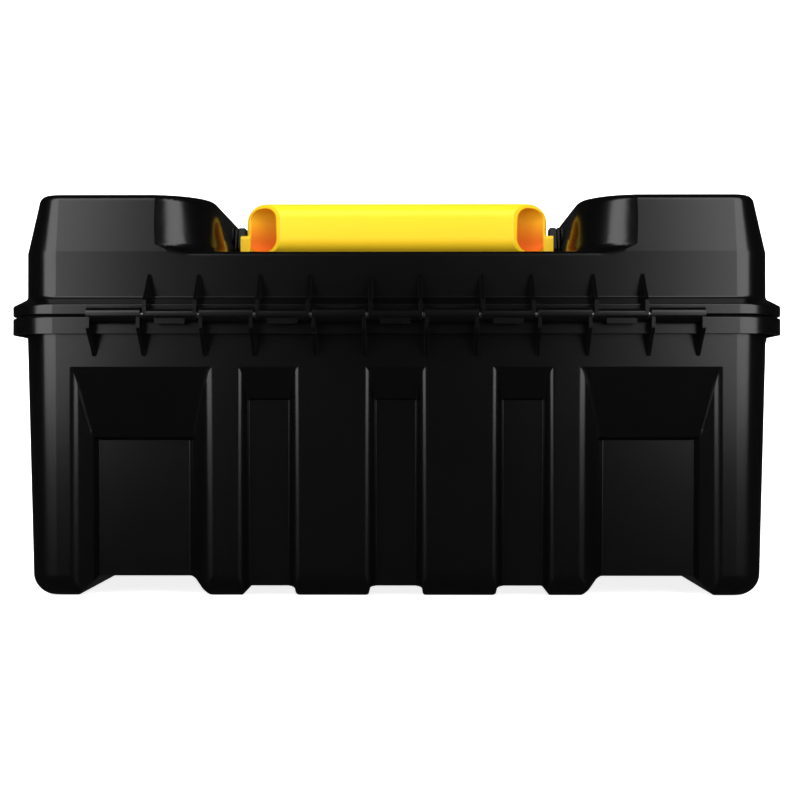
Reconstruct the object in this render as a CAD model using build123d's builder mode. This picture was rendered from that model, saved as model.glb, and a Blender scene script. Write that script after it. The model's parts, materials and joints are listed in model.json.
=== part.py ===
"""Battery box: a moulded two-part case on a steel hinge rod, with a folding handle and two snap latches.

Frame: X along the width, +Y towards the hinge (rear), -Y the latch side (front), +Z up.
The origin is the middle of the footprint, on the surface the case stands on. Millimetres.
"""

import os
from math import atan, cos, degrees, radians, sin, tan

from build123d import *

os.makedirs("parts", exist_ok=True)

# ------------------------------------------------------------------ driving dimensions
SKIN = 2.8  # wall thickness of both mouldings
RUN = 0.05  # radial clearance of a running fit
SNUG = 0.02  # radial clearance of a pin that stays put

RIM_W, RIM_D, RIM_R = 487.0, 246.0, 31.5  # outline of the two meeting flanges
FOOT_W, FOOT_D, FOOT_R = 460.0, 219.0, 18.0  # base walls at the floor
DRAFT = 1.6  # the base walls lean out by this many degrees
BOTTOM_R = 14.0  # rounding between walls and underside
RIM_BOTTOM, RIM_TOP = 164.2, 174.5
RIM_PLATE = 5.0  # thickness of the base's flange plate
RIM_SKIRT = 3.0  # thickness of the lip that hangs from it
SEAL_OUT, SEAL_W, SEAL_DEEP = 4.0, 4.0, 2.5  # the seal's groove: distance from the rim, width, depth
LEDGE_W, LEDGE_L, LEDGE_H = 6.0, 150.0, 3.0  # grip ledges under the flange at both ends

SEAM = 1.2  # gap between the two flanges
LID_BOTTOM = RIM_TOP + SEAM
LID_W, LID_D, LID_R = 469.0, 228.0, 22.5  # lid walls
SHOULDER, SHOULDER_H = 182.2, 4.8  # slope from the flange edge up to the lid walls
DECK = 216.0  # floor of the handle recess; the raised ends beside it start to lean in here
TOP = 253.0
LEAN = 12.4  # degrees
END_INNER, END_INNER_R = 109.2, 47.7  # inner flank of the raised ends, and its corners in plan
END_OVERRUN = 0.5  # the corner arcs run this far past the long walls, so they meet them at an angle
ARC_ANGLES = (43, 86)  # a point midway along each corner arc, and its end
FLANK_FOOT_R = 7.0  # rounding where the flanks grow out of the deck
CREST_R, TOP_R = 3.5, 5.5

HINGE_Y, HINGE_Z = 129.5, RIM_TOP + SEAM / 2
ROD_R = 2.0
PITCH = 69.0  # from one base knuckle to the next
KNUCKLE_W, KNUCKLE_R = 33.0, 5.0
LID_KNUCKLE_R = 4.0
EAR_T = 2.2  # gussets and ribs at the knuckles' ends
GUSSET_LOW, RIB_HIGH = 150.5, 201.5  # the ends of the gussets below and of the ribs above
TONGUE_W, TAB_W = 21.0, 18.5  # stiffening strips on the base's and the lid's knuckles
BASE_KNUCKLES = [(i - 2.5) * PITCH for i in range(6)]
LID_KNUCKLES = [(i - 2) * PITCH for i in range(5)]
OUT_Y = HINGE_Y + KNUCKLE_R  # half of the overall depth

GROOVE_STEP = 79.7  # between the middles of the three narrow wall channels
RAMP_TOP = 144.0  # all wall channels run out here
# Half sections of the wall channels, from the mouth inwards: (distance from the middle, depth)
GROOVE = [(17.0, 0.0), (13.4, 5.0), (12.5, 7.5)]
GROOVE_RADII = [5.0, 0.5, 0.5]
GROOVE_END = 124.3  # height at which the ramp stops and the flat strip begins
BAY = [(41.75, 0.0), (31.4, 9.0), (28.9, 14.0)]
BAY_RADII = [8.0, 4.0, 1.5]
BAY_END = 100.0
BAY_MIDDLE = 158.9  # middle of the wide wall channel near each corner
BAY_CORNER_R = 4.0  # rounding between a wide channel's ramp and its sides
NARROW_H, WIDE_H = 6.5, 12.0  # heights of the channels under the floor
SLANT, UPRIGHT = 5.0, 0.7  # how far a narrow channel's sides lean in over its height
WIDE_X = (117.0, 127.0, 187.5, 200.0)  # foot, ceiling, ceiling and foot of a wide channel

GLAND_X, GLAND_Z = GROOVE_STEP, 108.0
VENT_Z = 104.0
THREAD_R, VENT_R = 8.0, 7.0
BOSS_R, BOSS_FACE, BOSS_BACK = 12.2, 107.0, 101.0  # round pads; faces as distances forward of the middle
BORE_GAP = 0.1  # radial clearance of a hole for a screw or a thread
GLAND_HEX, WASHER_T, HEX_T = 11.0, 1.2, 5.0
CABLE_R = 3.5

PIVOT_Y, PIVOT_Z = 5.0, 228.0  # the carry handle's axis
GRIP_Y, GRIP_Z = 50.0, 236.7  # middle of the stowed grip
GRIP_D, GRIP_H, GRIP_T, GRIP_R = 24.0, 34.6, 2.8, 11.0
GRIP_LONG, GRIP_SHORT = 102.1, 76.6  # half lengths of its two sides
ARM_X, ARM_T = 101.6, 6.4
ARM_LOW, ARM_HIGH, ARM_END = 220.0, 234.0, 43.0
EYE_R, HANDLE_PIN_R = 8.0, 2.5
EAR_GAP = 0.4

LATCH_X, LATCH_W = 138.0, 56.0
LATCH_Y, LATCH_Z = -127.0, 199.0  # latch axis
LATCH_PIN_R, LATCH_EYE_R = 1.5, 4.0
LATCH_IN, LATCH_OUT = -124.6, -128.0  # inner and outer faces of the latch plate
LATCH_EAR = 4.0
LATCH_LOW, LATCH_HIGH = 152.0, 210.0

SCREW_X, SCREW_Y = (95.3, 104.3), -16.5  # bracket screws
SCREW_R = 2.5
SCREW_HEAD_R, SCREW_HEAD_H = 4.3, 2.6
NUT_HALF, NUT_H = 3.7, 2.7
BRACKET_X, BRACKET_W, BRACKET_D = 103.8, 28.0, 43.0
BRACKET_FOOT = 2.8  # thickness of the brackets' feet, under the screw heads
BRACKET_EAR = 4.0  # thickness of the ears that hold the handle pin
SCREW_PLACES = [(s * x, SCREW_Y) for s in (-1, 1) for x in SCREW_X]

TRAY_W, TRAY_D, TRAY_H = 361.0, 184.0, 20.0
TRAY_Z = WIDE_H + SKIN
TRAY_T, TRAY_SIDE, TRAY_R = 2.0, 2.5, 9.0  # thickness of the tray's floor and sides, and its corners
MAT_T = 2.0


def save(part, label):
    part.label = label
    export_step(part, f"parts/{label}.step")
    print(f"{label}: {len(part.solids())} solid(s), {part.volume / 1000:.1f} cm3, valid {part.is_valid}")


def side_profile(xs, points, width, rounded=()):
    """The side-view outline `points` (Y, Z), extruded along X by `width` from each of xs."""
    with BuildPart() as body:
        with BuildSketch(*[Plane.YZ.offset(x) for x in xs]) as outline:
            with BuildLine():
                Polyline(*points, close=True)
            make_face()
            for place, r in rounded:
                fillet([v for v in outline.vertices() if near(v, place)], r)
        extrude(amount=width)
    return body.part


def near(vertex, place):
    return abs(vertex.X - place[0]) < 0.01 and abs(vertex.Y - place[1]) < 0.01


def bar(xs, y, z, radius, width, hole=0):
    """Round bar along X at (y, z), `width` long from each of xs."""
    with BuildPart() as body:
        with BuildSketch(*[Plane.YZ.offset(x) for x in xs]):
            with Locations((y, z)):
                Circle(radius)
                if hole:
                    Circle(hole, mode=Mode.SUBTRACT)
        extrude(amount=width)
    return body.part


# ------------------------------------------------------------------ base shell
def wall_face(side):
    """Plane across a long wall at floor level: local y points out of the wall and local z up its slope."""
    lean = radians(DRAFT)
    return Plane(
        origin=(0, side * FOOT_D / 2, 0),
        x_dir=(side, 0, 0),
        z_dir=(0, side * sin(lean), cos(lean)),
    )


def wall_channel(side, middle, section, radii, runout, grow, corner_r=0):
    """Cutter for one channel up a long wall, grown by `grow` all round.

    section is the channel's half section. runout is the slope that ends it, as two (height, depth)
    points. corner_r rounds the corners between that slope and the sides.
    """
    face = wall_face(side)
    start = Plane(origin=face.from_local_coords((side * middle, 0, -20)), x_dir=face.x_dir, z_dir=face.z_dir)
    half = [(x + grow, -depth - (grow if depth else 0)) for x, depth in section]
    brim = half[0][0] + 6
    outline = [(brim, 4), (brim, 0)] + half
    (high, shallow), (low, deep) = runout
    slope = face.from_local_coords((0, low - high, deep - shallow)) - face.from_local_coords((0, 0, 0))
    end = Plane(origin=face.from_local_coords((0, -shallow, high)), x_dir=(1, 0, 0), z_dir=slope).offset(grow)
    with BuildPart() as cutter:
        with BuildSketch(start) as sketch:
            with BuildLine():
                Polyline(*outline, *[(-x, y) for x, y in reversed(outline)], close=True)
            make_face()
            if grow == 0:
                for (x, y), r in zip(half, radii):
                    fillet([v for v in sketch.vertices() if near(v, (x, y)) or near(v, (-x, y))], r)
        extrude(amount=RAMP_TOP + 60)
        split(bisect_by=end, keep=Keep.BOTTOM)
        if corner_r and grow == 0:
            fillet([e for e in cutter.edges().filter_by(GeomType.LINE) if climbs_sideways(e)], corner_r)
    return cutter.part


def climbs_sideways(edge):
    run = edge.position_at(1) - edge.position_at(0)
    return abs(run.X) > 1 and abs(run.Z) > 5


def wall_channels(side, middle, section, radii, end, grow, corner_r=0):
    """A channel in two parts: the funnel that runs out up a ramp, and the deeper flat strip below it."""
    funnel_depth, strip_depth = section[1][1], section[2][1]
    ramp = [(RAMP_TOP, 0), (end, funnel_depth)]
    lip = [(end, funnel_depth), (end - (strip_depth - funnel_depth) / 2, strip_depth)]
    return [
        wall_channel(side, middle, section[:2], radii[:2], ramp, grow, corner_r),
        wall_channel(side, middle, section, radii, lip, grow),
    ]


def under_channel(points, radii, grow):
    """Cutter for one channel under the floor, running front to back between two feet."""
    with BuildPart() as cutter:
        with BuildSketch(Plane.XZ) as section:
            with BuildLine():
                Polyline(*points, close=True)
            make_face()
            if grow == 0:
                for (x, z), r in radii:
                    fillet([v for v in section.vertices() if abs(v.X - x) < 0.01 and abs(v.Y - z) < 0.01], r)
        extrude(amount=RIM_D / 2, both=True)
    return cutter.part


def under_cutters(grow):
    cutters = []
    narrow, wide = NARROW_H + grow, WIDE_H + grow
    for sign in (-1, 0, 1):
        c, g = sign * GROOVE_STEP, GROOVE[0][0] + grow
        left, right = (SLANT if sign < 0 else UPRIGHT), (SLANT if sign > 0 else UPRIGHT)
        a, b = (c - g, 0), (c - g + left, narrow)
        d, e = (c + g - right, narrow), (c + g, 0)
        points = [(a[0] - 5, -4), (a[0] - 5, 0), a, b, d, e, (e[0] + 5, 0), (e[0] + 5, -4)]
        cutters.append(under_channel(points, [(a, 3), (b, 2), (d, 2), (e, 3)], grow))
    for sign in (-1, 1):
        a, b = (sign * (WIDE_X[0] - grow), 0), (sign * (WIDE_X[1] - grow), wide)
        d, e = (sign * (WIDE_X[2] + grow), wide), (sign * (WIDE_X[3] + grow), 0)
        first, last = a[0] - sign * 6, e[0] + sign * 6
        points = [(first, -4), (first, 0), a, b, d, e, (last, 0), (last, -4)]
        cutters.append(under_channel(points, [(a, 4), (b, 5), (d, 3), (e, 4)], grow))
    return cutters


def tub(inset):
    """The base's walls and floor as a block with all its channels, `inset` inside the outer skin."""
    with BuildPart() as block:
        with BuildSketch(Plane.XY.offset(inset)):
            RectangleRounded(FOOT_W - 2 * inset, FOOT_D - 2 * inset, FOOT_R - inset)
        extrude(amount=RIM_TOP + (5 if inset else 0) - inset, taper=-DRAFT)
        fillet(block.faces().sort_by(Axis.Z)[0].edges(), BOTTOM_R - inset)
        cutters = under_cutters(inset)
        for side in (-1, 1):
            for middle in (-GROOVE_STEP, 0, GROOVE_STEP):
                cutters += wall_channels(side, middle, GROOVE, GROOVE_RADII, GROOVE_END, inset)
            for middle in (-BAY_MIDDLE, BAY_MIDDLE):
                cutters += wall_channels(side, middle, BAY, BAY_RADII, BAY_END, inset, BAY_CORNER_R)
        for cutter in cutters:
            add(cutter, mode=Mode.SUBTRACT)
    return block.part


def hand_ledges():
    with BuildPart() as ledges:
        with BuildSketch(Plane.XY.offset(RIM_BOTTOM - LEDGE_H)):
            with Locations((-(RIM_W / 2 - LEDGE_W - 0.5), 0), (RIM_W / 2 - LEDGE_W - 0.5, 0)):
                RectangleRounded(LEDGE_W, LEDGE_L, 2)
        extrude(amount=RIM_TOP - RIM_PLATE + 1 - (RIM_BOTTOM - LEDGE_H))
    return ledges.part


def base_knuckles():
    """Hinge knuckles: a barrel with a raised tongue, a web to the flange and a gusset at each end."""
    wall_y = FOOT_D / 2 + tan(radians(DRAFT)) * GUSSET_LOW
    starts = [c - KNUCKLE_W / 2 for c in BASE_KNUCKLES]
    gussets = [x for s in starts for x in (s, s + KNUCKLE_W - EAR_T)]
    edge = RIM_D / 2
    gusset = [
        (wall_y - 1.5, GUSSET_LOW),
        (wall_y + 0.6, GUSSET_LOW),
        (OUT_Y - 0.2, 167),
        (OUT_Y - 0.2, HINGE_Z),
        (HINGE_Y, HINGE_Z + 2),
        (edge - 1, RIM_TOP - 1),
        (wall_y - 1.5, RIM_TOP - 2),
    ]
    web = [
        (edge - 2, RIM_TOP - 4),
        (HINGE_Y + 1, HINGE_Z - 4.6),
        (HINGE_Y + 1, HINGE_Z + 1),
        (edge - 2, RIM_TOP - 0.6),
    ]
    tongue_z = HINGE_Z + 3.2
    tongue = [(HINGE_Y + y, tongue_z + z) for y, z in ((-2, -2), (2, -2), (2, 2), (-2, 2))]
    with BuildPart() as knuckles:
        add(bar(starts, HINGE_Y, HINGE_Z, KNUCKLE_R, KNUCKLE_W))
        add(side_profile(gussets, gusset, EAR_T))
        add(side_profile(starts, web, KNUCKLE_W))
        add(side_profile([c - TONGUE_W / 2 for c in BASE_KNUCKLES], tongue, TONGUE_W))
    return knuckles.part


def boss_pads(thickness):
    """Round pads that square up the sloping front wall for the cable glands and the vent."""
    with BuildPart() as pads:
        with BuildSketch(Plane.XZ.offset(BOSS_BACK)):
            with Locations((-GLAND_X, GLAND_Z), (0, VENT_Z), (GLAND_X, GLAND_Z)):
                Circle(BOSS_R)
        extrude(amount=thickness)
    return pads.part


def rim_ring(outer, inner, bottom, top):
    """A ring that follows the flanges' outline, from `outer` to `inner` inside it."""
    with BuildPart() as ring:
        with BuildSketch(Plane.XY.offset(bottom)):
            RectangleRounded(RIM_W - 2 * outer, RIM_D - 2 * outer, RIM_R - outer)
            RectangleRounded(RIM_W - 2 * inner, RIM_D - 2 * inner, RIM_R - inner, mode=Mode.SUBTRACT)
        extrude(amount=top - bottom)
    return ring.part


def base():
    with BuildPart() as shell:
        add(tub(0))
        # Flange plate, with a lip hanging from its edge
        with BuildSketch(Plane.XY.offset(RIM_TOP - RIM_PLATE)):
            RectangleRounded(RIM_W, RIM_D, RIM_R)
        extrude(amount=RIM_PLATE)
        fillet(shell.faces().sort_by(Axis.Z)[-1].outer_wire().edges(), 0.8)
        add(rim_ring(0, RIM_SKIRT, RIM_BOTTOM, RIM_TOP - RIM_PLATE))
        add(hand_ledges())
        add(base_knuckles())
        add(boss_pads(BOSS_FACE - BOSS_BACK))
        add(tub(SKIN), mode=Mode.SUBTRACT)
        add(boss_pads(3.5))
        # Seal groove in the flange, rod bore, gland and vent holes
        add(rim_ring(SEAL_OUT, SEAL_OUT + SEAL_W, RIM_TOP - SEAL_DEEP, RIM_TOP + 1), mode=Mode.SUBTRACT)
        add(bar([-200], HINGE_Y, HINGE_Z, ROD_R + SNUG, 400), mode=Mode.SUBTRACT)
        with BuildSketch(Plane.XZ.offset(BOSS_BACK - 2)):
            with Locations((-GLAND_X, GLAND_Z), (GLAND_X, GLAND_Z)):
                Circle(THREAD_R + BORE_GAP)
            with Locations((0, VENT_Z)):
                Circle(VENT_R + BORE_GAP)
        extrude(amount=12, mode=Mode.SUBTRACT)
    return shell.part


base_shell = base()
save(base_shell, "base_shell")


# ------------------------------------------------------------------ lid shell
def lid_block(inset, bottom):
    """The lid's walls from `bottom` to the top without the handle recess, `inset` inside the outer skin."""
    size = (LID_W - 2 * inset, LID_D - 2 * inset, LID_R - inset)
    with BuildPart() as block:
        with BuildSketch(Plane.XY.offset(bottom)):
            RectangleRounded(*size)
        extrude(amount=DECK - bottom)
        with BuildSketch(Plane.XY.offset(DECK)):
            RectangleRounded(*size)
        extrude(amount=TOP - inset - DECK, taper=LEAN)
    return block.part


def deck_recess(inset):
    """Cutter for the handle recess, `inset` outside its faces. It opens to the long walls in wide arcs."""
    shift = inset * (1 - tan(radians(LEAN)))  # the flanks keep their distance above the lowered floor
    inner, radius = END_INNER + shift, END_INNER_R - shift
    centre_x, centre_y = END_INNER + END_INNER_R, LID_D / 2 + END_OVERRUN - END_INNER_R
    reach = LID_D / 2 + 25
    with BuildPart() as cutter:
        with BuildSketch(Plane.XY.offset(DECK - inset)):
            with BuildLine():
                for sx, sy in ((1, 1), (1, -1), (-1, 1), (-1, -1)):
                    across = [centre_x - radius * cos(radians(a)) for a in ARC_ANGLES]
                    along = [centre_y + radius * sin(radians(a)) for a in ARC_ANGLES]
                    middle, end = [(sx * x, sy * y) for x, y in zip(across, along)]
                    corner = (end[0] + sx * 6, sy * reach)
                    Line((sx * inner, 0), (sx * inner, sy * centre_y))
                    ThreePointArc((sx * inner, sy * centre_y), middle, end)
                    Line(end, corner)
                    Line(corner, (0, sy * reach))
            make_face()
        extrude(amount=TOP - DECK + 10 + inset, taper=-LEAN)
        fillet(cutter.faces().sort_by(Axis.Z)[0].edges(), FLANK_FOOT_R + inset)
    return cutter.part


def lid_body(inset, bottom):
    """Walls, handle deck and raised ends as a block, `inset` inside the outer skin."""
    with BuildPart() as block:
        add(lid_block(inset, bottom))
        add(deck_recess(inset), mode=Mode.SUBTRACT)
        if inset == 0:
            rims = block.edges().filter_by_position(Axis.Z, DECK - 0.01, DECK + 0.01)
            fillet([e for e in rims if abs(e.center().X) < 1 and abs(e.center().Y) > LID_D / 2 - 1], CREST_R)
        tops = block.faces().filter_by(Axis.Z).sort_by(Axis.Z)[-2:]
        fillet([e for top in tops for e in top.edges()], TOP_R - inset)
    return block.part


def lid_knuckles():
    """The lid's hinge knuckles: a barrel with a tab below it, and a tall thin rib at each end."""
    starts = [c - KNUCKLE_W / 2 for c in LID_KNUCKLES]
    ribs = [x for s in starts for x in (s, s + KNUCKLE_W - EAR_T)]
    edge = RIM_D / 2
    rib = [
        (LID_D / 2 - 1.5, RIB_HIGH),
        (LID_D / 2 + 0.3, RIB_HIGH),
        (LID_D / 2 + 11.5, 191),
        (HINGE_Y + 3.9, 184),
        (HINGE_Y + 3.9, HINGE_Z),
        (HINGE_Y, HINGE_Z - 2),
        (edge + 1.5, LID_BOTTOM + 0.2),
        (LID_D / 2 - 1.5, LID_BOTTOM + 0.2),
    ]
    web = [
        (edge - 2, LID_BOTTOM + 0.8),
        (HINGE_Y, HINGE_Z - 1),
        (HINGE_Y, HINGE_Z + 3.2),
        (edge - 2, LID_BOTTOM + 3.8),
    ]
    tab = [(HINGE_Y + y, HINGE_Z + z) for y, z in ((-1.7, -5.4), (3.6, -5.4), (3.6, -2.2), (-1.7, -2.2))]
    with BuildPart() as knuckles:
        add(bar(starts, HINGE_Y, HINGE_Z, LID_KNUCKLE_R, KNUCKLE_W))
        add(side_profile(ribs, rib, EAR_T))
        add(side_profile(starts, web, KNUCKLE_W))
        add(side_profile([c - TAB_W / 2 for c in LID_KNUCKLES], tab, TAB_W))
    return knuckles.part


def latch_ears():
    """Pairs of ears on the lid's front that carry the latch pins."""
    reach = LATCH_W / 2 + 0.5
    xs = [c + d for c in (-LATCH_X, LATCH_X) for d in (-reach - LATCH_EAR, reach)]
    ear = [
        (-LID_D / 2 + 1.5, LATCH_HIGH - 1),
        (-LID_D / 2 - 0.5, LATCH_HIGH - 1),
        (LATCH_Y + 1, LATCH_Z + LATCH_EYE_R + 0.4),
        (LATCH_Y - LATCH_EYE_R, LATCH_Z),
        (LATCH_Y, LATCH_Z - LATCH_EYE_R),
        (-RIM_D / 2 + 1, SHOULDER + 1),
        (-LID_D / 2 + 1.5, SHOULDER + 1),
    ]
    with BuildPart() as ears:
        add(side_profile(xs, ear, LATCH_EAR))
        add(bar(xs, LATCH_Y, LATCH_Z, LATCH_EYE_R, LATCH_EAR))
    return ears.part


def lid():
    with BuildPart() as shell:
        with BuildSketch(Plane.XY.offset(LID_BOTTOM)):
            RectangleRounded(RIM_W, RIM_D, RIM_R)
        extrude(amount=SHOULDER - LID_BOTTOM)
        fillet(shell.faces().sort_by(Axis.Z)[0].edges(), 0.8)
        with BuildSketch(Plane.XY.offset(SHOULDER)):
            RectangleRounded(RIM_W, RIM_D, RIM_R)
        extrude(amount=SHOULDER_H + 0.5, taper=degrees(atan((RIM_W - LID_W) / 2 / SHOULDER_H)))
        brow = shell.edges().filter_by_position(Axis.Z, SHOULDER - 0.01, SHOULDER + 0.01)
        fillet(brow, 1.2)
        add(lid_body(0, SHOULDER))
        wall_foot = SHOULDER + SHOULDER_H
        fillet(shell.edges().filter_by_position(Axis.Z, wall_foot - 0.01, wall_foot + 0.01), 2.0)
        add(lid_knuckles())
        add(latch_ears())
        add(lid_body(SKIN, LID_BOTTOM - 2), mode=Mode.SUBTRACT)
        add(bar([-200], HINGE_Y, HINGE_Z, ROD_R + RUN, 400), mode=Mode.SUBTRACT)
        add(bar([-200], LATCH_Y, LATCH_Z, LATCH_PIN_R + SNUG, 400), mode=Mode.SUBTRACT)
        with BuildSketch(Plane.XY.offset(DECK - SKIN - 1)):
            with Locations(*SCREW_PLACES):
                Circle(SCREW_R + BORE_GAP)
        extrude(amount=SKIN + 2, mode=Mode.SUBTRACT)
    return shell.part


lid_shell = lid()
save(lid_shell, "lid_shell")

# ------------------------------------------------------------------ hinge rod and rim seal
with BuildPart() as hinge_rod:
    half_rod = BASE_KNUCKLES[-1] + KNUCKLE_W / 2
    add(bar([-half_rod], HINGE_Y, HINGE_Z, ROD_R, 2 * half_rod))
    chamfer(hinge_rod.edges(), 0.4)
save(hinge_rod.part, "hinge_rod")

with BuildPart() as rim_seal:
    add(rim_ring(SEAL_OUT + 0.1, SEAL_OUT + SEAL_W - 0.1, RIM_TOP - SEAL_DEEP, LID_BOTTOM - 0.1))
    fillet(rim_seal.faces().sort_by(Axis.Z)[-1].edges(), 1.0)
save(rim_seal.part, "rim_seal")

# ------------------------------------------------------------------ battery tray and mat
with BuildPart() as battery_tray:
    with BuildSketch(Plane.XY.offset(TRAY_Z)):
        RectangleRounded(TRAY_W, TRAY_D, TRAY_R)
    extrude(amount=TRAY_H)
    with BuildSketch(Plane.XY.offset(TRAY_Z + TRAY_T)):
        RectangleRounded(TRAY_W - 2 * TRAY_SIDE, TRAY_D - 2 * TRAY_SIDE, TRAY_R - TRAY_SIDE)
    extrude(amount=TRAY_H, mode=Mode.SUBTRACT)
    fillet(battery_tray.faces().sort_by(Axis.Z)[-1].edges(), 0.8)
save(battery_tray.part, "battery_tray")

with BuildPart() as battery_mat:
    with BuildSketch(Plane.XY.offset(TRAY_Z + TRAY_T)):
        RectangleRounded(TRAY_W - 2 * TRAY_SIDE - 1, TRAY_D - 2 * TRAY_SIDE - 1, TRAY_R - TRAY_SIDE - 0.5)
        with GridLocations(58, 44, 5, 3):
            SlotOverall(36, 10, mode=Mode.SUBTRACT)
    extrude(amount=MAT_T)
save(battery_mat.part, "battery_mat")

# ------------------------------------------------------------------ cable glands and vent
GLAND_PLACES = [(-GLAND_X, GLAND_Z), (GLAND_X, GLAND_Z)]
GLAND_FLAT = BOSS_FACE + WASHER_T  # the hexagon sits on a rubber washer
CAP_BACK = GLAND_FLAT + HEX_T + 0.3

with BuildPart() as gland_washers:
    with BuildSketch(Plane.XZ.offset(BOSS_FACE)):
        with Locations(*GLAND_PLACES):
            Circle(GLAND_HEX)
            Circle(THREAD_R + BORE_GAP, mode=Mode.SUBTRACT)
    extrude(amount=WASHER_T)
save(gland_washers.part, "gland_washers")

with BuildPart() as gland_bodies:
    with BuildSketch(Plane.XZ.offset(GLAND_FLAT)):
        with Locations(*GLAND_PLACES):
            RegularPolygon(GLAND_HEX, 6, major_radius=False)
    extrude(amount=HEX_T)
    chamfer(gland_bodies.faces().filter_by(Axis.Y).sort_by(Axis.Y)[:2].edges(), 0.6)
    with BuildSketch(Plane.XZ.offset(BOSS_BACK - 7)):
        with Locations(*GLAND_PLACES):
            Circle(THREAD_R)
    extrude(amount=GLAND_FLAT - BOSS_BACK + 17)
    with BuildSketch(Plane.XZ.offset(BOSS_BACK - 8)):
        with Locations(*GLAND_PLACES):
            Circle(5.2)
    extrude(amount=40, mode=Mode.SUBTRACT)
save(gland_bodies.part, "gland_bodies")

with BuildPart() as gland_caps:
    with BuildSketch(Plane.XZ.offset(CAP_BACK)):
        with Locations(*GLAND_PLACES):
            RegularPolygon(10.4, 6, major_radius=False)
    extrude(amount=HEX_T)
    with BuildSketch(Plane.XZ.offset(CAP_BACK + HEX_T)):
        with Locations(*GLAND_PLACES):
            Circle(10)
    extrude(amount=4.5, taper=28)
    with BuildSketch(Plane.XZ.offset(CAP_BACK - 0.1)):
        with Locations(*GLAND_PLACES):
            Circle(THREAD_R + BORE_GAP)
    extrude(amount=6, mode=Mode.SUBTRACT)
    with BuildSketch(Plane.XZ.offset(CAP_BACK - 0.1)):
        with Locations(*GLAND_PLACES):
            Circle(4.6)
    extrude(amount=20, mode=Mode.SUBTRACT)
save(gland_caps.part, "gland_caps")

with BuildPart() as gland_inserts:
    with BuildSketch(Plane.XZ.offset(GLAND_FLAT + 0.5)):
        with Locations(*GLAND_PLACES):
            Circle(5.1)
    extrude(amount=8.5)
    with BuildSketch(Plane.XZ.offset(GLAND_FLAT + 9)):
        with Locations(*GLAND_PLACES):
            Circle(4.5)
    extrude(amount=6)
    with BuildSketch(Plane.XZ.offset(GLAND_FLAT)):
        with Locations(*GLAND_PLACES):
            Circle(CABLE_R)
    extrude(amount=20, mode=Mode.SUBTRACT)
save(gland_inserts.part, "gland_inserts")

with BuildPart() as gland_nuts:
    with BuildSketch(Plane.XZ.offset(BOSS_BACK - 4.5)):
        with Locations(*GLAND_PLACES):
            RegularPolygon(GLAND_HEX, 6, major_radius=False)
            Circle(THREAD_R + BORE_GAP, mode=Mode.SUBTRACT)
    extrude(amount=4.5)
save(gland_nuts.part, "gland_nuts")

with BuildPart() as vent_plug:
    with BuildSketch(Plane.XZ.offset(BOSS_BACK - 2)):
        with Locations((0, VENT_Z)):
            Circle(VENT_R)
    extrude(amount=BOSS_FACE - BOSS_BACK + 2)
    with BuildSketch(Plane.XZ.offset(BOSS_BACK - 2)):
        with Locations((0, VENT_Z)):
            Circle(VENT_R + 0.7)
    extrude(amount=1.8)
    with BuildSketch(Plane.XZ.offset(BOSS_FACE)):
        with Locations((0, VENT_Z)):
            Circle(10.5)
    extrude(amount=4.5)
    fillet(vent_plug.faces().sort_by(Axis.Y)[0].edges(), 1.5)
    with BuildSketch(Plane.XZ.offset(BOSS_FACE + 2)):
        with Locations((0, VENT_Z)):
            with PolarLocations(6.2, 6):
                RectangleRounded(4, 1.6, 0.7)
    extrude(amount=4, mode=Mode.SUBTRACT)
save(vent_plug.part, "vent_plug")


# ------------------------------------------------------------------ handle brackets
def bracket(sign):
    """Clevis for one handle arm: foot, inner ear, and an outer ear backed by thin ribs."""
    inner = ARM_X - ARM_T / 2 - EAR_GAP
    outer = ARM_X + ARM_T / 2 + EAR_GAP
    low = DECK + 1
    ear = [(-11, low), (20, low), (20, 226), (13, 237.5), (-2, 237.5), (-11, 226)]
    wall = [(-9, low), (21, low), (21, 228), (14, 243), (-3, 243), (-9, 228)]
    spine = [(3, low), (7, low), (7, 240), (3, 240)]
    plates = [(inner - BRACKET_EAR, ear, BRACKET_EAR), (outer, wall, BRACKET_EAR), (outer, spine, 12.8)]
    plates += [(outer + 5.0 + 2.6 * i, wall, 1.2) for i in range(3)]
    with BuildPart() as body:
        with BuildSketch(Plane.XY.offset(DECK)):
            with Locations((sign * BRACKET_X, 0)):
                RectangleRounded(BRACKET_W, BRACKET_D, 3)
        extrude(amount=BRACKET_FOOT)
        for x, outline, width in plates:
            start = x if sign > 0 else -x - width
            top = [p for p in outline if p[1] > 230]
            add(side_profile([start], outline, width, [(p, 1.5) for p in top]))
        add(deck_recess(-0.2), mode=Mode.INTERSECT)
        start = inner - 5 if sign > 0 else -(outer + 7)
        add(bar([start], PIVOT_Y, PIVOT_Z, HANDLE_PIN_R + SNUG, outer + 12 - inner), mode=Mode.SUBTRACT)
        with BuildSketch(Plane.XY.offset(DECK - 1)):
            with Locations(*[p for p in SCREW_PLACES if p[0] * sign > 0]):
                Circle(SCREW_R + BORE_GAP)
        extrude(amount=6, mode=Mode.SUBTRACT)
    return body.part


bracket_left = bracket(1)
save(bracket_left, "bracket_left")
bracket_right = bracket(-1)
save(bracket_right, "bracket_right")

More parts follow.
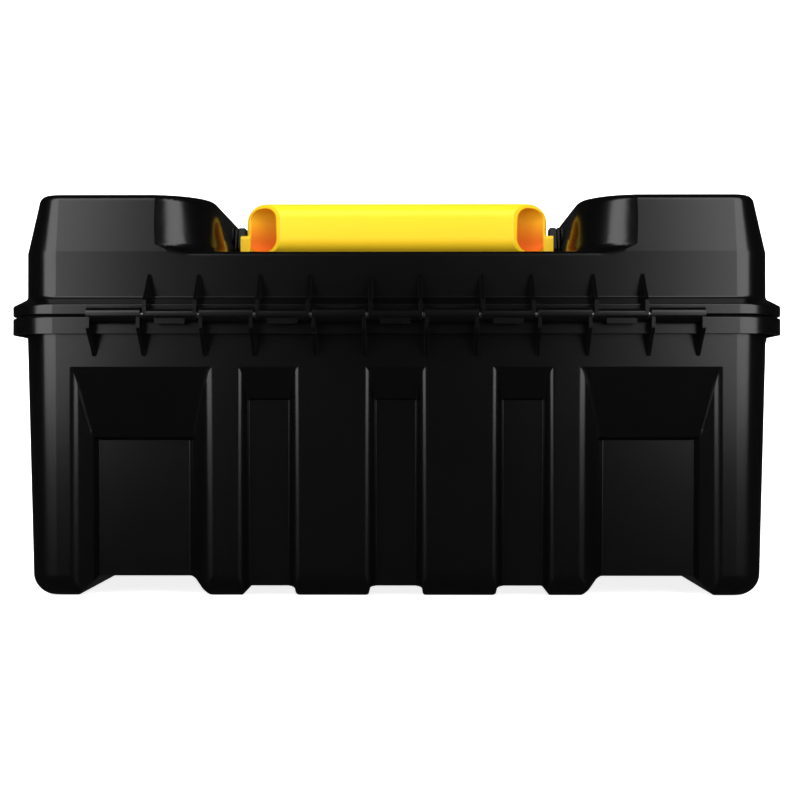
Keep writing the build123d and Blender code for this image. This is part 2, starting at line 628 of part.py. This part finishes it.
with BuildPart() as bracket_screws:
    with BuildSketch(Plane.XY.offset(DECK + BRACKET_FOOT)):
        with Locations(*SCREW_PLACES):
            Circle(SCREW_HEAD_R)
    extrude(amount=SCREW_HEAD_H)
    fillet(bracket_screws.faces().sort_by(Axis.Z)[-4:].edges(), 1.2)
    with BuildSketch(Plane.XY.offset(DECK - SKIN - 3.4)):
        with Locations(*SCREW_PLACES):
            Circle(SCREW_R)
    extrude(amount=SKIN + BRACKET_FOOT + 3.5)
    with BuildSketch(Plane.XY.offset(DECK + BRACKET_FOOT + 1)):
        with Locations(*SCREW_PLACES):
            RegularPolygon(1.5, 6, major_radius=False)
    extrude(amount=3, mode=Mode.SUBTRACT)
save(bracket_screws.part, "bracket_screws")

with BuildPart() as bracket_nuts:
    with BuildSketch(Plane.XY.offset(DECK - SKIN - NUT_H)):
        with Locations(*SCREW_PLACES):
            RegularPolygon(NUT_HALF, 6, major_radius=False)
            Circle(SCREW_R + BORE_GAP, mode=Mode.SUBTRACT)
    extrude(amount=NUT_H)
save(bracket_nuts.part, "bracket_nuts")

with BuildPart() as handle_pins:
    pin_in, pin_out = ARM_X - ARM_T / 2 - EAR_GAP - BRACKET_EAR, ARM_X + ARM_T / 2 + EAR_GAP + 6
    add(bar([pin_in, -pin_out], PIVOT_Y, PIVOT_Z, HANDLE_PIN_R, pin_out - pin_in))
    chamfer(handle_pins.edges().filter_by(GeomType.CIRCLE), 0.4)
save(handle_pins.part, "handle_pins")

# ------------------------------------------------------------------ carry handle
near_y, far_y = GRIP_Y + GRIP_D / 2, GRIP_Y - GRIP_D / 2
with BuildPart() as carry_handle:
    with BuildSketch(Plane.YZ.offset(-GRIP_LONG)):
        with Locations((GRIP_Y, GRIP_Z)):
            RectangleRounded(GRIP_D, GRIP_H, GRIP_R)
            RectangleRounded(GRIP_D - 2 * GRIP_T, GRIP_H - 2 * GRIP_T, GRIP_R - GRIP_T, mode=Mode.SUBTRACT)
    extrude(amount=2 * GRIP_LONG)
    run = (GRIP_LONG - GRIP_SHORT) / GRIP_D
    for sign in (-1, 1):
        with BuildSketch(Plane.XY.offset(GRIP_Z - GRIP_H)):
            with BuildLine():
                Polyline(
                    (sign * (GRIP_SHORT - 3 * run), near_y + 3),
                    (sign * (GRIP_LONG + 3 * run), far_y - 3),
                    (sign * (GRIP_LONG + 30), far_y - 3),
                    (sign * (GRIP_LONG + 30), near_y + 3),
                    close=True,
                )
            make_face()
        extrude(amount=2 * GRIP_H, mode=Mode.SUBTRACT)
    flats = carry_handle.faces().filter_by(GeomType.PLANE)
    mouths = [f for f in flats if 0.2 < abs(f.normal_at().X) < 0.95]
    fillet([e for f in mouths for e in f.outer_wire().edges()], 1.0)
    for sign in (-1, 1):
        start = sign * ARM_X - ARM_T / 2
        arm = [
            (PIVOT_Y, ARM_LOW),
            (ARM_END, ARM_LOW),
            (ARM_END, ARM_HIGH),
            (PIVOT_Y, ARM_HIGH + 1),
        ]
        add(side_profile([start], arm, ARM_T, [(arm[2], 2.5)]))
        add(bar([start], PIVOT_Y, PIVOT_Z, EYE_R, ARM_T))
    add(bar([-120], PIVOT_Y, PIVOT_Z, HANDLE_PIN_R + RUN, 240), mode=Mode.SUBTRACT)
save(carry_handle.part, "carry_handle")


# ------------------------------------------------------------------ latches
def latch(centre):
    """Snap latch: an eye, a plate with a shallow finger recess, a hook and a flared thumb lip."""
    start = centre - LATCH_W / 2
    blade = [
        (LATCH_Y, LATCH_Z + LATCH_EYE_R),
        (LATCH_IN, LATCH_Z + 2.5),
        (LATCH_IN, RIM_BOTTOM - 0.4),
        (-RIM_D / 2 + 3.2, RIM_BOTTOM - 0.4),
        (-RIM_D / 2 + 3.2, RIM_BOTTOM - 1.9),
        (LATCH_IN - 0.5, RIM_BOTTOM - 4.5),
        (LATCH_IN - 1.5, RIM_BOTTOM - 6.0),
        (-OUT_Y + 1.8, LATCH_LOW),
        (-OUT_Y, LATCH_LOW),
        (LATCH_OUT - 0.4, RIM_BOTTOM - 2),
        (LATCH_OUT, RIM_BOTTOM + 4),
        (LATCH_OUT, LATCH_Z - 4),
        (LATCH_Y - LATCH_EYE_R, LATCH_Z),
    ]
    with BuildPart() as body:
        add(side_profile([start], blade, LATCH_W))
        with BuildSketch(Plane.XZ.offset(-LATCH_Y - 20)) as front:
            with Locations((centre, (LATCH_LOW + LATCH_HIGH) / 2)):
                Rectangle(LATCH_W, LATCH_HIGH - LATCH_LOW)
            fillet(front.vertices().group_by(Axis.Y)[0], 6)
        extrude(amount=40, mode=Mode.INTERSECT)
        add(bar([start], LATCH_Y, LATCH_Z, LATCH_EYE_R, LATCH_W))
        with BuildSketch(Plane.XZ.offset(-LATCH_OUT)):
            with Locations((centre, (RIM_BOTTOM + LATCH_Z) / 2 + 0.5)):
                RectangleRounded(LATCH_W - 14, 22, 4)
        extrude(amount=-1.0, mode=Mode.SUBTRACT)
        add(bar([start - 1], LATCH_Y, LATCH_Z, LATCH_PIN_R + RUN, LATCH_W + 2), mode=Mode.SUBTRACT)
    return body.part


latch_left = latch(LATCH_X)
save(latch_left, "latch_left")
latch_right = latch(-LATCH_X)
save(latch_right, "latch_right")

with BuildPart() as latch_pins:
    pin_half = LATCH_W / 2 + 0.5 + LATCH_EAR
    add(bar([-LATCH_X - pin_half, LATCH_X - pin_half], LATCH_Y, LATCH_Z, LATCH_PIN_R, 2 * pin_half))
save(latch_pins.part, "latch_pins")
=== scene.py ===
# %% [markdown]
# # A battery box with a yellow carry handle
#
# The box is a moulded case: a base and a lid of black polypropylene that meet at two flanges, turn on a steel
# rod along the back, and close with two yellow latches at the front. The CAD model already has every shape and
# every joint, so this lesson is about surfaces, light and the camera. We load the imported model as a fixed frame
# and give each part the finish that the real one has.

# %% Load the frame
import json
from math import atan, cos, degrees, pi, radians, sin

import bpy
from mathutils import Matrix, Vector


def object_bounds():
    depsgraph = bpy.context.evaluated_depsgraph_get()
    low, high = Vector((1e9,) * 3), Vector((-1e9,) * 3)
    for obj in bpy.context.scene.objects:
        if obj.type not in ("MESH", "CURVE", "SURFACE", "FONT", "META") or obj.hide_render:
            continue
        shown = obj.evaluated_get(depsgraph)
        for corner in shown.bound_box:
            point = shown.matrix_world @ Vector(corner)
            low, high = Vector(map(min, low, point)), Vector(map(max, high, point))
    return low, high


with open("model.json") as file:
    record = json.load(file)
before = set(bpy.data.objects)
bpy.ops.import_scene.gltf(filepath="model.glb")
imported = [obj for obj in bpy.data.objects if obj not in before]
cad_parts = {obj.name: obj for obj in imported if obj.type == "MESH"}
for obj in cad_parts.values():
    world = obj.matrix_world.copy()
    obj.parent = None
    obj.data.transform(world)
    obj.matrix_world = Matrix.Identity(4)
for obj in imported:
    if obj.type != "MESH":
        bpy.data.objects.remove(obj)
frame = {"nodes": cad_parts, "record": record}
nodes = frame["nodes"]
cad_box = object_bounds()
print("CAD box in metres:", [[round(c, 4) for c in corner] for corner in cad_box])

# %% [markdown]
# ## Places to work from
#
# The finishes are sized in millimetres, and the lights aim at the middle of the whole box.

# %% Box of the whole object
MM = 0.001
low, high = (Vector(corner) for corner in cad_box)
middle = (low + high) / 2
print("size in mm:", [round((high - low)[i] / MM, 1) for i in range(3)])

# %% [markdown]
# ## A small language for shader maths
#
# A Blender material is a graph of nodes. Building it by hand means many lines for each sum, so this small class
# wraps one output socket and lets Python's own operators add the Math nodes: `1 - mask`, `a * b`, `a + 0.5`.
# Any other node comes from `Shader.node`, which takes the node's type, its settings and its sockets' values.

# %% The Wire and Shader classes
class Wire:
    """One output socket. Arithmetic on wires adds Math nodes to the same material."""

    def __init__(self, shader, socket):
        self.shader, self.socket = shader, socket

    def math(self, operation, *others, clamp=False):
        values = {i: v for i, v in enumerate(others)}
        return self.shader.node("Math", {"operation": operation, "use_clamp": clamp}, values)

    def __add__(self, other):
        return self.math("ADD", self, other)

    def __sub__(self, other):
        return self.math("SUBTRACT", self, other)

    def __rsub__(self, other):
        return self.math("SUBTRACT", other, self)

    def __mul__(self, other):
        return self.math("MULTIPLY", self, other)

    __radd__, __rmul__ = __add__, __mul__

    def power(self, exponent):
        return self.math("POWER", self, exponent)

    def clamped(self):
        return self.math("ADD", self, 0.0, clamp=True)

    def at_least(self, other):
        return self.math("MAXIMUM", self, other)

    def between(self, start, end):
        """0 at start, 1 at end, with a soft turn at both."""
        settings = {"interpolation_type": "SMOOTHSTEP"}
        return self.shader.node("MapRange", settings, {"Value": self, "From Min": start, "From Max": end})


class Shader:
    """One material on a Principled surface, built from expressions."""

    def __init__(self, name, color, roughness, metallic=0.0, **fixed):
        self.material = bpy.data.materials.new(name)
        self.material.use_nodes = True
        self.tree = self.material.node_tree
        self.surface = self.tree.nodes["Principled BSDF"]
        self.set("Base Color", (*color, 1))
        self.set("Roughness", roughness)
        self.set("Metallic", metallic)
        for socket, value in fixed.items():
            self.set(socket.replace("_", " "), value)
        self.material.diffuse_color = (*color, 1)

    def link(self, socket, value):
        if isinstance(value, Wire):
            self.tree.links.new(value.socket, socket)
        elif hasattr(socket.default_value, "__len__") and not hasattr(value, "__len__"):
            socket.default_value = [value] * len(socket.default_value)
        else:
            socket.default_value = value

    def set(self, socket, value):
        self.link(self.surface.inputs[socket], value)

    def node(self, kind, settings=None, sockets=None, output=0):
        """Add a node of this kind. Settings come first, then each socket's value or wire."""
        made = self.tree.nodes.new("ShaderNode" + kind)
        for name, value in (settings or {}).items():
            setattr(made, name, value)
        for name, value in (sockets or {}).items():
            self.link(made.inputs[name], value)
        return Wire(self, made.outputs[output])

    def place(self):
        """Where a point is on the object at rest, in metres."""
        return self.node("TexCoord", output=3)

    def noise(self, scale, detail=2.0, roughness=0.5, vector=None, distortion=0.0):
        values = {"Vector": vector or self.place(), "Scale": scale, "Detail": detail}
        values.update({"Roughness": roughness, "Distortion": distortion})
        return self.node("TexNoise", None, values)

    def cells(self, scale):
        return self.node("TexVoronoi", None, {"Vector": self.place(), "Scale": scale})

    def along(self, axis):
        """One coordinate of the point's place: 0, 1 or 2 for X, Y or Z."""
        return self.node("SeparateXYZ", None, {0: self.place()}, output=axis)

    def offset(self, axis, start):
        """Distance from `start` along one axis, to either side."""
        moved = self.along(axis) - start
        return moved.math("ABSOLUTE", moved)

    def stretched(self, x, y, z):
        """The point's place, scaled differently along each direction."""
        settings = {"operation": "MULTIPLY"}
        return self.node("VectorMath", settings, {0: self.place(), 1: (x, y, z)})

    def mix(self, factor, a, b):
        """A colour between a and b."""
        values = {"Factor": factor, 6: self.color(a), 7: self.color(b)}
        return self.node("Mix", {"data_type": "RGBA"}, values, output=2)

    def color(self, value):
        return value if isinstance(value, Wire) else (*value, 1)

    def edges(self, radius):
        """How sharply the surface turns near a point: 0 on a flat, towards 1 on an edge."""
        rounded = self.node("Bevel", {"samples": 4}, {"Radius": radius})
        true = self.node("NewGeometry", output=1)
        agree = self.node("VectorMath", {"operation": "DOT_PRODUCT"}, {0: rounded, 1: true}, output=1)
        return 1 - agree

    def bump(self, height, distance, strength):
        values = {"Height": height, "Distance": distance, "Strength": strength}
        self.set("Normal", self.node("Bump", None, values))


print("shader helpers ready")

# %% [markdown]
# ## Black polypropylene
#
# The case is injection moulded in black polypropylene from a mould with a fine spark-eroded grain. The grain is
# what makes the shine soft: tiny dimples under half a millimetre wide. On top of it the real case has a broad,
# faint unevenness, because plastic shrinks as it cools, and edges that handling has polished a little paler; the
# paler edges are also a painted highlight along the edges.

# %% The case plastic
EDGE_WEAR_AND_HIGHLIGHT = 1.1 * MM  # how far from an edge the case is painted paler: handling wear, and a painted highlight
GRAIN_DEPTH = 0.018 * MM


def case_plastic(name, color, roughness, grain_mm=0.55, edge_wear_and_highlight=1.0):
    shader = Shader(name, color, roughness, Specular_IOR_Level=0.5)
    grain = shader.cells(1 / (grain_mm * MM))
    drift = shader.noise(9.0, detail=3.0)
    rub = shader.noise(60.0, detail=5.0, roughness=0.65)
    # edge: a paler band along the edges, partly handling wear and partly a painted highlight
    edge = (shader.edges(EDGE_WEAR_AND_HIGHLIGHT) * 3.2 * edge_wear_and_highlight).clamped() * rub.between(0.35, 0.7)
    dust = shader.noise(420.0, detail=2.0).between(0.66, 0.80) * 0.05
    paler_wear_and_highlight = tuple(c * 2 + 0.010 for c in color)
    shader.set("Base Color", shader.mix((edge * 0.55 + dust).clamped(), color, paler_wear_and_highlight))
    shader.set("Roughness", roughness + (drift - 0.5) * 0.08 + (grain - 0.4) * 0.06 - edge * 0.05)
    shader.bump(grain + drift * 6.0, GRAIN_DEPTH, 0.3)
    return shader.material


BLACK = case_plastic("case_plastic", (0.0009, 0.0009, 0.0010), 0.20)
BRACKET = case_plastic("bracket_plastic", (0.004, 0.004, 0.0042), 0.36, grain_mm=0.4)
NYLON = case_plastic("nylon", (0.010, 0.010, 0.0105), 0.32, grain_mm=0.3, edge_wear_and_highlight=0.6)
print("black plastics:", BLACK.name, BRACKET.name, NYLON.name)

# %% [markdown]
# ## Yellow plastic
#
# The handle and the latches are the same polypropylene coloured through with a warm yellow. It's smoother than
# the case, with a satin shine, very fine scuffs from carrying, and a slightly deeper colour where the flow of
# plastic in the mould drew the pigment out.

# %% The yellow plastic
GRIP_Y, GRIP_Z = 50.0 * MM, 236.7 * MM  # middle of the grip's section
CORE_Y, CORE_Z = 1.0 * MM, 6.3 * MM  # half size of the rectangle that its roundings are drawn around
MOUTH_WALL, INNER_WALL = 8.9 * MM, 8.5 * MM  # distances from that rectangle: in the wall, and at its inner face
ARM_FACE, ARM_NEAR = 98.4 * MM, 97.6 * MM  # the arms' inner face, and a little inside it


def yellow_plastic():
    color = (0.93, 0.60, 0.018)
    shader = Shader("yellow_plastic", color, 0.33, Specular_IOR_Level=0.45)
    flow = shader.noise(16.0, detail=4.0, vector=shader.stretched(0.35, 1, 1), distortion=0.6)
    grain = shader.cells(1 / (0.45 * MM))
    scuff = shader.noise(1.0, detail=6.0, roughness=0.7, vector=shader.stretched(90, 700, 700)).between(0.6, 0.78)
    edge = (shader.edges(1.0 * MM) * 3.0).clamped()
    deeper, pale = (0.86, 0.52, 0.010), (0.95, 0.70, 0.10)
    body = shader.mix(flow.between(0.3, 0.7) * 0.4, color, deeper)
    worn = shader.mix((scuff * 0.12 + edge * 0.30).clamped(), body, pale)
    # Inside the hollow grip the colour is painted orange and darker towards the bottom: painted bounce light and
    # shade. The grip's section is a rounded rectangle, so the distance from its core line tells the inner wall
    # from the outer one.
    across = (shader.offset(1, GRIP_Y) - CORE_Y).at_least(0)
    upward = (shader.offset(2, GRIP_Z) - CORE_Z).at_least(0)
    inside = (across * across + upward * upward).power(0.5).between(MOUTH_WALL, INNER_WALL)
    between_arms = shader.offset(0, 0.0).between(ARM_FACE, ARM_NEAR)
    height = shader.along(2).between(GRIP_Z - 10 * MM, GRIP_Z + 12 * MM)
    # painted shade and bounce light: deep orange at the bottom of the hollow, lighter orange higher up
    painted_bounce_shade = shader.mix(height, (0.80, 0.14, 0.0005), (0.98, 0.44, 0.001))
    inside = inside * between_arms
    shader.set("Base Color", shader.mix(inside, worn, painted_bounce_shade))
    shader.set("Roughness", 0.33 + scuff * 0.12 + (grain - 0.4) * 0.05 + inside * 0.45)
    shader.bump(grain + scuff * 0.8, 0.012 * MM, 0.45)
    return shader.material


YELLOW = yellow_plastic()
print("yellow plastic:", YELLOW.name)

# %% [markdown]
# ## Steel and rubber
#
# The hinge rod and the pins are drawn steel, so their fine lines run along the X direction. The bracket screws
# are zinc plated, a little cloudier. Rubber is the darkest and dullest finish on the box.

# %% Steel and rubber
def steel(name, color, roughness, lines):
    shader = Shader(name, color, roughness, metallic=1.0)
    drawn = shader.noise(1.0, detail=4.0, vector=shader.stretched(*lines))
    cloud = shader.noise(140.0, detail=3.0)
    dull = tuple(c * 0.62 for c in color)
    shader.set("Base Color", shader.mix(cloud.between(0.45, 0.75) * 0.6, color, dull))
    shader.set("Roughness", roughness + (drawn - 0.5) * 0.16 + cloud.between(0.5, 0.8) * 0.12)
    shader.bump(drawn, 0.006 * MM, 0.4)
    return shader.material


def rubber():
    color = (0.014, 0.014, 0.014)
    shader = Shader("rubber", color, 0.72, Specular_IOR_Level=0.35)
    bloom = shader.noise(45.0, detail=5.0, roughness=0.6)
    pores = shader.cells(2600.0)
    shader.set("Base Color", shader.mix(bloom.between(0.45, 0.75) * 0.5, color, (0.034, 0.034, 0.035)))
    shader.set("Roughness", 0.66 + bloom * 0.16)
    shader.bump(pores, 0.02 * MM, 0.5)
    return shader.material


ROD = steel("drawn_steel", (0.62, 0.62, 0.63), 0.26, (40, 2600, 2600))
ZINC = steel("zinc_steel", (0.55, 0.57, 0.60), 0.36, (900, 900, 900))
RUBBER = rubber()
print("metals and rubber:", ROD.name, ZINC.name, RUBBER.name)

# %% [markdown]
# ## Giving each part its finish
#
# The record says which material slot each node takes, so one dictionary from slot to material is enough.

# %% Assign the finishes
FINISHES = {
    "case_plastic": BLACK,
    "bracket_plastic": BRACKET,
    "nylon": NYLON,
    "yellow_plastic": YELLOW,
    "bright_steel": ROD,
    "zinc_steel": ZINC,
    "seal_rubber": RUBBER,
}
for subpart in frame["record"]["subparts"]:
    part = nodes[subpart["node"]]
    part.data.materials.clear()
    part.data.materials.append(FINISHES[subpart["material_slot"]])
print("finished", len(nodes), "CAD parts in", len(FINISHES), "finishes")

# %% [markdown]
# ## The camera
#
# The box is seen from behind, almost square on and level, from a metre away with a short telephoto lens. The
# camera stands a little to the side, so one end of the box comes out slightly larger than the other.

# %% Camera
DISTANCE = 1.042
SIDE, HEIGHT = -0.0107, 0.1145
TURN, TILT = radians(0.494), radians(0.535)
LENS, SENSOR = 67.15, 36.0

camera_data = bpy.data.cameras.new("camera")
camera_data.lens, camera_data.sensor_width = LENS, SENSOR
camera = bpy.data.objects.new("camera", camera_data)
bpy.context.scene.collection.objects.link(camera)
camera.location = (SIDE, DISTANCE, HEIGHT)
looking = Vector((sin(TURN) * cos(TILT), -cos(TURN) * cos(TILT), sin(TILT)))
camera.rotation_euler = looking.to_track_quat("-Z", "Y").to_euler()
bpy.context.scene.camera = camera
view_angle = degrees(2 * atan(SENSOR / 2 / LENS))
print("camera at", [round(c, 3) for c in camera.location], "sees", round(view_angle, 1), "degrees")

# %% [markdown]
# ## Floor and light
#
# A plain pale floor runs back into a wide backdrop with one smooth bend. Black plastic shows only what it
# mirrors. The floor and the backdrop stay out of its reflections, as if black card stood around the box, so the
# walls stay dark in the middle and catch only the tall soft boxes left and right of the camera. Three more boxes
# light the yellow plastic and the backdrop, and stay out of the reflections in the same way.

# %% Floor
BEND_STEPS = 16


def sweep(name, width, front, back, bend, height):
    """A floor that curves up into a backdrop: an outline in Y and Z, drawn out along X."""
    angles = [i * pi / 2 / BEND_STEPS for i in range(BEND_STEPS + 1)]
    turn = [(-back - bend * sin(a), bend * (1 - cos(a))) for a in angles]
    outline = [(front, 0.0)] + turn + [(-back - bend, height)]
    mesh = bpy.data.meshes.new(name)
    points = [(x, y, z) for x in (-width / 2, width / 2) for y, z in outline]
    count = len(outline)
    faces = [(i, i + 1, count + i + 1, count + i) for i in range(count - 1)]
    mesh.from_pydata(points, [], faces)
    mesh.shade_smooth()
    made = bpy.data.objects.new(name, mesh)
    bpy.context.scene.collection.objects.link(made)
    return made


floor = sweep("floor", width=9.0, front=4.0, back=1.6, bend=1.2, height=4.0)
lit_from_below = {"Emission_Color": (1, 1, 1, 1), "Emission_Strength": 0.85}
paper = Shader("floor_paper", (0.86, 0.86, 0.85), 0.85, Specular_IOR_Level=0.1, **lit_from_below)
floor.data.materials.append(paper.material)
floor.visible_glossy = False
print("floor:", len(floor.data.polygons), "faces")


# %% Soft boxes
def soft_box(name, place, target, width, height, glow, mirrored=True):
    """A rectangle of light at `place` that faces `target`. glow is how bright its face looks."""
    data = bpy.data.lights.new(name, "AREA")
    data.shape, data.size, data.size_y = "RECTANGLE", width, height
    data.energy = glow * pi * width * height
    light = bpy.data.objects.new(name, data)
    light.location = place
    light.rotation_euler = (Vector(target) - Vector(place)).to_track_quat("-Z", "Y").to_euler()
    light.visible_glossy = mirrored
    bpy.context.scene.collection.objects.link(light)
    return light


SIDE_Y, SIDE_LOW, SIDE_HIGH = 1.35, 0.04, 2.6
# Each side box fades towards its inner edge: (start, end, glow), measured outwards from that edge
FADE = [
    (0.00, 0.06, 0.04),
    (0.06, 0.11, 0.14),
    (0.11, 0.16, 0.36),
    (0.16, 0.22, 0.85),
    (0.22, 0.28, 1.9),
    (0.28, 1.60, 3.3),
]
INNER_EDGES = {1: 0.28, -1: 0.23}
for side, inner in INNER_EDGES.items():
    for number, (start, end, glow) in enumerate(FADE):
        place = Vector((side * (inner + (start + end) / 2), SIDE_Y, (SIDE_LOW + SIDE_HIGH) / 2))
        ahead = place - Vector((0, 1, 0))
        soft_box(f"side_{side}_{number}", place, ahead, end - start, SIDE_HIGH - SIDE_LOW, glow)
FILL_GLOW, BACKDROP_GLOW = 4.9, 13
soft_box("front_top", (0, 1.2, 1.7), middle, 1.6, 0.8, FILL_GLOW, mirrored=False)
for name, side in (("backdrop_left", 1), ("backdrop_right", -1)):
    soft_box(name, (side * 2.2, -0.6, 1.6), (0, -2.4, 0.8), 1.2, 1.2, BACKDROP_GLOW, mirrored=False)

world = bpy.data.worlds.new("studio")
world.use_nodes = True
sky = world.node_tree.nodes["Background"].inputs
sky["Color"].default_value = (1, 1, 1, 1)
sky["Strength"].default_value = 0.018
bpy.context.scene.world = world
bpy.context.scene.view_settings.view_transform = "Standard"
